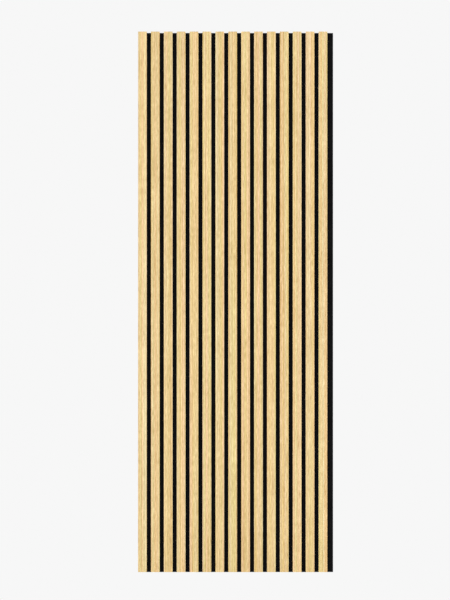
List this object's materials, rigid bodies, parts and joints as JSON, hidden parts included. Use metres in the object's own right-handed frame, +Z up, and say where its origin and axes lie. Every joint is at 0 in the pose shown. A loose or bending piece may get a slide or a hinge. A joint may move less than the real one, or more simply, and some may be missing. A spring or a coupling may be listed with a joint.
{
  "type": "acoustic slat wall panel",
  "caption": "Upright oak-faced fibreboard slats in an even row on one sheet of black felt, with a bare felt tongue along the right; lines a wall and damps room sound.",
  "frame": {"origin": "on the back face of the felt, which lies on the wall, at the middle of the panel's width and height", "axes": "+X to the right seen from the room, +Y out of the back face into the wall, +Z up along the slats"},
  "size_m": [0.605, 0.021, 1.677],
  "materials": {
    "oak_veneer": "matt lacquered light oak veneer, straight grain",
    "black_fibreboard": "black through-dyed fibreboard, matt, sawn ends",
    "black_felt": "black needle-punched polyester felt",
    "staple_steel": "galvanised wire"
  },
  "bodies": {
    "root": {"felt_backing": "black_felt", "backing_staples": "staple_steel", "slat_core_01": "black_fibreboard", "slat_core_02": "black_fibreboard", "slat_core_03": "black_fibreboard", "slat_core_04": "black_fibreboard", "slat_core_05": "black_fibreboard", "slat_core_06": "black_fibreboard", "slat_core_07": "black_fibreboard", "slat_core_08": "black_fibreboard", "slat_core_09": "black_fibreboard", "slat_core_10": "black_fibreboard", "slat_core_11": "black_fibreboard", "slat_core_12": "black_fibreboard", "slat_core_13": "black_fibreboard", "slat_core_14": "black_fibreboard", "slat_core_15": "black_fibreboard", "slat_veneer_01": "oak_veneer", "slat_veneer_02": "oak_veneer", "slat_veneer_03": "oak_veneer", "slat_veneer_04": "oak_veneer", "slat_veneer_05": "oak_veneer", "slat_veneer_06": "oak_veneer", "slat_veneer_07": "oak_veneer", "slat_veneer_08": "oak_veneer", "slat_veneer_09": "oak_veneer", "slat_veneer_10": "oak_veneer", "slat_veneer_11": "oak_veneer", "slat_veneer_12": "oak_veneer", "slat_veneer_13": "oak_veneer", "slat_veneer_14": "oak_veneer", "slat_veneer_15": "oak_veneer"}
  },
  "joints": []
}
